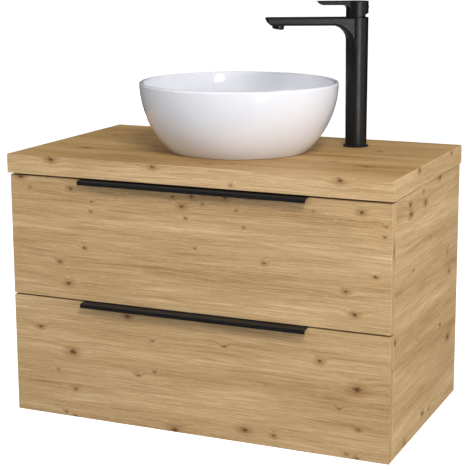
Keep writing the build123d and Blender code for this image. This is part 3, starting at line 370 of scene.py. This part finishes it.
def glazed_white():
    """Glazed ceramic: soft clouds, a few fine specks and a faint waviness in the glaze."""
    tree = Tree("glazed_ceramic")
    cloud = tree.noise(tree.place, scale=9.0, detail=2.0)
    speck = tree.step(tree.noise(tree.place, scale=700.0, detail=1.0), 0.74, 0.80)
    colour = tree.colour(tree.step(cloud, *NOISE_SPAN), GLAZE, GLAZE_LIGHT)
    colour = tree.colour(tree.math("MULTIPLY", speck, 0.12), colour, GLAZE_SPECK)
    ripple = tree.noise(tree.place, scale=38.0, detail=1.0)
    wave = tree.math("MULTIPLY_ADD", ripple, 0.7, tree.noise(tree.place, scale=160.0, detail=2.0))
    rough = tree.step(tree.noise(tree.place, scale=55.0, detail=3.0), 0.25, 0.75, 0.07, 0.14)
    coat = {"Coat_Weight": 0.35, "Coat_Roughness": 0.04}
    return tree.finish(colour, rough, wave, depth=0.0004, strength=0.10, IOR=1.52, **coat)


def satin_black():
    """A satin coating with a fine powder-coat texture and slightly uneven gloss."""
    tree = Tree("satin_black")
    grain = tree.noise(tree.place, scale=2600.0, detail=2.0)
    patch = tree.step(tree.noise(tree.place, scale=34.0, detail=3.0), *NOISE_SPAN)
    tint = tree.colour(patch, COATING, COATING_LIGHT)
    rough = tree.math("MULTIPLY_ADD", patch, COATING_PATCHES, COATING_ROUGHNESS - COATING_PATCHES / 2)
    rough = tree.math("MULTIPLY_ADD", grain, 0.05, rough)
    return tree.finish(tint, rough, grain, depth=0.00006, strength=0.35, Specular_IOR_Level=0.3)


def profile_black():
    """Anodised black aluminium profile with faint drawing lines along its length."""
    tree = Tree("black_anodised_profile")
    lines = tree.noise(tree.scaled(14.0, 1500.0, 1500.0), scale=1.0, detail=2.0)
    patch = tree.noise(tree.place, scale=40.0, detail=2.0)
    tint = tree.colour(tree.step(lines, *NOISE_SPAN), PROFILE, PROFILE_LIGHT)
    rough = tree.math("MULTIPLY_ADD", patch, 0.08, 0.44)
    return tree.finish(tint, rough, lines, depth=0.00003, strength=0.4, Specular_IOR_Level=0.36)


def turned_metal(name, colour, marked, roughness, centre, line_scale=2600.0):
    """Bare metal turned on a lathe: fine rings about its upright axis, and handling marks."""
    tree = Tree(name)
    x, y, z = tree.split(tree.place)
    out_x = tree.math("SUBTRACT", x, centre[0])
    out_y = tree.math("SUBTRACT", y, centre[1])
    squared = tree.math("MULTIPLY_ADD", out_x, out_x, tree.math("MULTIPLY", out_y, out_y))
    reach = tree.math("MULTIPLY", tree.math("SQRT", squared), line_scale)
    rings = tree.noise(tree.join(reach, tree.math("MULTIPLY", z, line_scale), 0.0))
    marks = tree.noise(tree.place, scale=120.0, detail=4.0, roughness=0.65)
    tint = tree.colour(tree.step(marks, 0.35, 0.75), colour, marked)
    rough = tree.math("MULTIPLY_ADD", tree.step(marks, 0.3, 0.8), 0.09, roughness)
    return tree.finish(tint, rough, rings, depth=0.00002, strength=0.25, Metallic=1.0)


def zinc_steel():
    """Zinc-plated sheet: a soft spangle, a faint blue passivation and wiped streaks along the sheet."""
    tree = Tree("zinc_plated_steel")
    spangle = tree.add("ShaderNodeTexVoronoi", feature="F1")
    tree.put(spangle.inputs["Vector"], tree.place)
    tree.put(spangle.inputs["Scale"], 260.0)
    cell = tree.split(spangle.outputs["Color"])[0]
    streak = tree.noise(tree.scaled(260.0, 9.0, 260.0), scale=1.0, detail=3.0)
    tint = tree.colour(tree.step(streak, *NOISE_SPAN), ZINC, ZINC_WIPED)
    tint = tree.colour(tree.math("MULTIPLY", cell, 0.35), tint, ZINC_SPANGLE)
    rough = tree.math("MULTIPLY_ADD", cell, 0.10, tree.math("MULTIPLY_ADD", streak, 0.12, 0.34))
    return tree.finish(tint, rough, streak, depth=0.00003, strength=0.3, Metallic=0.85)


def moulded(name, colour, flow_colour, roughness):
    """Injection-moulded plastic: spark-eroded grain and faint flow marks."""
    tree = Tree(name)
    grain = tree.noise(tree.place, scale=900.0, detail=3.0, roughness=0.6)
    flow = tree.noise(tree.scaled(18.0, 30.0, 9.0), scale=1.0, detail=2.0)
    tint = tree.colour(tree.step(flow, *NOISE_SPAN), colour, flow_colour)
    rough = tree.math("MULTIPLY_ADD", flow, FLOW_MARKS, roughness - FLOW_MARKS / 2)
    return tree.finish(tint, rough, grain, depth=0.00005, strength=0.35, Specular_IOR_Level=0.45)


def rubber():
    """Black sealing rubber, dusty and dull."""
    tree = Tree("black_rubber")
    dust = tree.noise(tree.place, scale=420.0, detail=4.0, roughness=0.7)
    tint = tree.colour(tree.step(dust, 0.45, 0.75), RUBBER, RUBBER_DUST)
    rough = tree.math("MULTIPLY_ADD", dust, 0.15, 0.66)
    return tree.finish(tint, rough, dust, depth=0.00008, strength=0.5, Specular_IOR_Level=0.3)


def drawer_board():
    """Dark grey melamine with a linen weave, for the drawers' insides."""
    tree = Tree("linen_grey_board")
    warp = tree.noise(tree.scaled(90.0, 1400.0, 1400.0), scale=1.0, detail=1.0)
    weft = tree.noise(tree.scaled(1400.0, 90.0, 1400.0), scale=1.0, detail=1.0)
    rise = tree.noise(tree.scaled(1400.0, 1400.0, 90.0), scale=1.0, detail=1.0)
    weave = tree.math("MAXIMUM", tree.math("MAXIMUM", warp, weft), rise)
    slub = tree.noise(tree.place, scale=26.0, detail=3.0)
    tint = tree.colour(tree.step(weave, 0.45, 0.75), BOARD, BOARD_THREAD)
    tint = tree.colour(tree.math("MULTIPLY", slub, 0.12), tint, BOARD_SLUB)
    rough = tree.math("MULTIPLY_ADD", weave, 0.10, 0.50)
    return tree.finish(tint, rough, weave, depth=0.00008, strength=0.4, Specular_IOR_Level=0.35)


tap_low, tap_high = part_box("tap_base_ring")
tap_centre = (tap_low + tap_high) / 2
waste_low, waste_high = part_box("waste_body")
waste_centre = (waste_low + waste_high) / 2

SLOT_MATERIALS = {
    "oak_front": oak("oak_front", "front", FRONT_KNOTS),
    "oak_worktop": oak("oak_worktop", "top", TOP_KNOTS, warmth=0.42, seed=11.0, tint=(1.0, 0.94, 0.78)),
    "oak_edge": oak("oak_edge_band", "top", EDGE_KNOTS, warmth=0.60, seed=23.0),
    "oak_carcass": oak("oak_rail", "front", RAIL_KNOTS, warmth=0.46, seed=51.0),
    "glazed_white": glazed_white(),
    "matt_black": satin_black(),
    "black_profile": profile_black(),
    "chrome": turned_metal("polished_chrome", CHROME, CHROME_MARKED, 0.05, waste_centre, line_scale=900.0),
    "brass": turned_metal("turned_brass", BRASS, BRASS_MARKED, 0.20, tap_centre),
    "zinc_steel": zinc_steel(),
    "white_plastic": moulded("white_plastic", WHITE_PLASTIC, WHITE_PLASTIC_FLOW, 0.40),
    "grey_plastic": moulded("grey_plastic", GREY_PLASTIC, GREY_PLASTIC_FLOW, 0.44),
    "black_rubber": rubber(),
    "drawer_board": drawer_board(),
}
oak_side = oak("oak_side_panel", "side", SIDE_KNOTS, warmth=0.52, seed=37.0, repeat=False)
NODE_MATERIALS = {"side_panel_left": oak_side, "side_panel_right": oak_side}

for part in frame["record"]["subparts"]:
    name = part["node"]
    material = NODE_MATERIALS.get(name, SLOT_MATERIALS.get(part["material_slot"]))
    piece = nodes[name]
    if not piece.material_slots:
        piece.data.materials.append(material)
    for slot in piece.material_slots:
        slot.material = material


# ==== floor, light and camera ====
FLOOR_HEIGHT = -0.758  # the worktop's surface is 0.85 m over the floor
FLOOR_HALF = 14.0
FLOOR_UNEVENNESS = 0.1
FLOOR_TINTS = ((0.90, 0.90, 0.90), (0.94, 0.94, 0.94))
FLOOR_ROUGHNESS = 0.75
FLOOR_GLOW = 0.70  # keeps the floor as pale as what is behind it
LAMP_TARGET = (0.0, -0.23, 0.0)
LAMP_COLOUR = (1.0, 0.99, 0.975)
# Name, azimuth and elevation in degrees, distance, width and height, power, and what the lamp is for:
# "diffuse" lights surfaces and "glossy" shows as a reflection. Azimuth 0 is in front and positive is to
# the right.
LAMPS = (
    ("key_softbox", 36.0, 41.0, 3.6, (1.1, 1.1), 76.0, "diffuse"),
    ("front_fill", -8.0, 2.0, 4.2, (2.6, 1.2), 18.0, "diffuse"),
    ("right_softbox", 68.0, 7.0, 3.6, (1.6, 1.4), 68.0, "diffuse"),
    ("left_softbox", -62.0, 34.0, 3.8, (1.8, 1.6), 22.0, "diffuse"),
    ("rear_light", 176.0, 35.0, 4.0, (2.4, 1.6), 22.0, "diffuse"),
    ("rear_reflection", 207.0, -7.0, 3.4, (1.4, 0.8), 18.0, "glossy"),
    ("strip_reflection", 49.0, -1.0, 3.4, (0.60, 1.3), 72.0, "glossy"),
    ("broad_reflection", 98.0, 4.0, 3.4, (1.6, 1.2), 11.0, "glossy"),
    ("window_reflection", -48.0, 20.0, 3.4, (0.8, 0.3), 12.0, "glossy"),
)
# Levels: the heights of a ray's direction where a change begins and ends, and the strengths there.
ROOM_COLOUR = (0.97, 0.985, 1.0)
ROOM_LEVELS = (0.0, 1.0, 0.44, 0.40)
MIRRORED_LEVELS = (0.40, 0.90, 0.03, 0.60)  # a dim room with a pale ceiling
BACKDROP_STRENGTH = 1.1
CAMERA_PLACE = (1.1173, -2.7283, 0.521)
CAMERA_DOWN = 10.94  # degrees below the horizon
CAMERA_TURN = 22.66  # degrees to the left of straight at the wall
CAMERA_LENS = 104.37
CAMERA_SHIFT = -0.08


def place_in_scene(name, data):
    """A new object in the scene's own collection."""
    holder = bpy.data.objects.new(name, data)
    bpy.context.scene.collection.objects.link(holder)
    return holder


def add_floor():
    """A wide pale floor with a very slight unevenness, which neither lights the object nor shows in it."""
    tree = Tree("pale_floor")
    soft = tree.noise(tree.place, 2.2, 3.0)
    tint = tree.colour(soft, *FLOOR_TINTS)
    rough = tree.math("MULTIPLY_ADD", soft, FLOOR_UNEVENNESS, FLOOR_ROUGHNESS)
    glow = {"Emission_Color": (*WHITE, 1.0), "Emission_Strength": FLOOR_GLOW}
    material = tree.finish(tint, rough, Specular_IOR_Level=0.2, **glow)
    mesh = bpy.data.meshes.new("studio_floor")
    corners = [(-1, -1), (1, -1), (1, 1), (-1, 1)]
    points = [(FLOOR_HALF * x, FLOOR_HALF * y, FLOOR_HEIGHT) for x, y in corners]
    mesh.from_pydata(points, [], [(0, 1, 2, 3)])
    mesh.materials.append(material)
    floor = place_in_scene("studio_floor", mesh)
    floor.visible_diffuse = False
    floor.visible_glossy = False


def add_lamp(name, azimuth, elevation, distance, size, power, purpose):
    """An area light that looks at the object."""
    turn, rise = math.radians(azimuth), math.radians(elevation)
    away = Vector((math.sin(turn) * math.cos(rise), -math.cos(turn) * math.cos(rise), math.sin(rise)))
    lamp = bpy.data.lights.new(name, "AREA")
    lamp.shape = "RECTANGLE"
    lamp.size, lamp.size_y = size
    lamp.energy = power
    lamp.color = LAMP_COLOUR
    holder = place_in_scene(name, lamp)
    holder.location = Vector(LAMP_TARGET) + away * distance
    holder.rotation_euler = away.to_track_quat("Z", "Y").to_euler()
    holder.visible_diffuse = purpose == "diffuse"
    holder.visible_glossy = purpose == "glossy"


def add_world():
    """Even studio white, with a dim room and a pale ceiling in reflections and white behind the object."""
    world = bpy.data.worlds.new("studio")
    bpy.context.scene.world = world
    world.use_nodes = True
    tree = world.node_tree
    tree.nodes.clear()

    def background(colour, strength):
        """A background whose strength is a number, or four levels for a ray's height."""
        node = tree.nodes.new("ShaderNodeBackground")
        node.inputs["Color"].default_value = (*colour, 1.0)
        if isinstance(strength, tuple):
            levels = tree.nodes.new("ShaderNodeMapRange")
            for key, value in zip(("From Min", "From Max", "To Min", "To Max"), strength):
                levels.inputs[key].default_value = value
            tree.links.new(parts.outputs["Z"], levels.inputs["Value"])
            tree.links.new(levels.outputs[0], node.inputs["Strength"])
        else:
            node.inputs["Strength"].default_value = strength
        return node.outputs[0]

    def choose(ray, otherwise, chosen):
        """The chosen background for one kind of ray, and the other for the rest."""
        node = tree.nodes.new("ShaderNodeMixShader")
        for socket, output in zip(node.inputs, (path.outputs[ray], otherwise, chosen)):
            tree.links.new(output, socket)
        return node.outputs[0]

    place = tree.nodes.new("ShaderNodeTexCoord")
    parts = tree.nodes.new("ShaderNodeSeparateXYZ")
    path = tree.nodes.new("ShaderNodeLightPath")
    out = tree.nodes.new("ShaderNodeOutputWorld")
    tree.links.new(place.outputs["Generated"], parts.inputs[0])
    room = background(ROOM_COLOUR, ROOM_LEVELS)
    mirrored = background(WHITE, MIRRORED_LEVELS)
    backdrop = background(WHITE, BACKDROP_STRENGTH)
    unseen = choose("Is Glossy Ray", room, mirrored)
    tree.links.new(choose("Is Camera Ray", unseen, backdrop), out.inputs[0])


def add_camera():
    """The camera, in front of the object and to its right."""
    camera = bpy.data.cameras.new("camera")
    camera.sensor_width = 36.0
    camera.lens = CAMERA_LENS
    camera.shift_x = CAMERA_SHIFT
    camera.shift_y = CAMERA_SHIFT
    camera.clip_start = 0.05
    camera.clip_end = 60.0
    holder = place_in_scene("camera", camera)
    holder.location = CAMERA_PLACE
    holder.rotation_euler = (math.radians(90.0 - CAMERA_DOWN), 0.0, math.radians(CAMERA_TURN))
    bpy.context.scene.camera = holder


add_floor()
for row in LAMPS:
    add_lamp(*row)
add_world()
bpy.context.scene.view_settings.view_transform = "Standard"
add_camera()

bpy.context.view_layer.update()
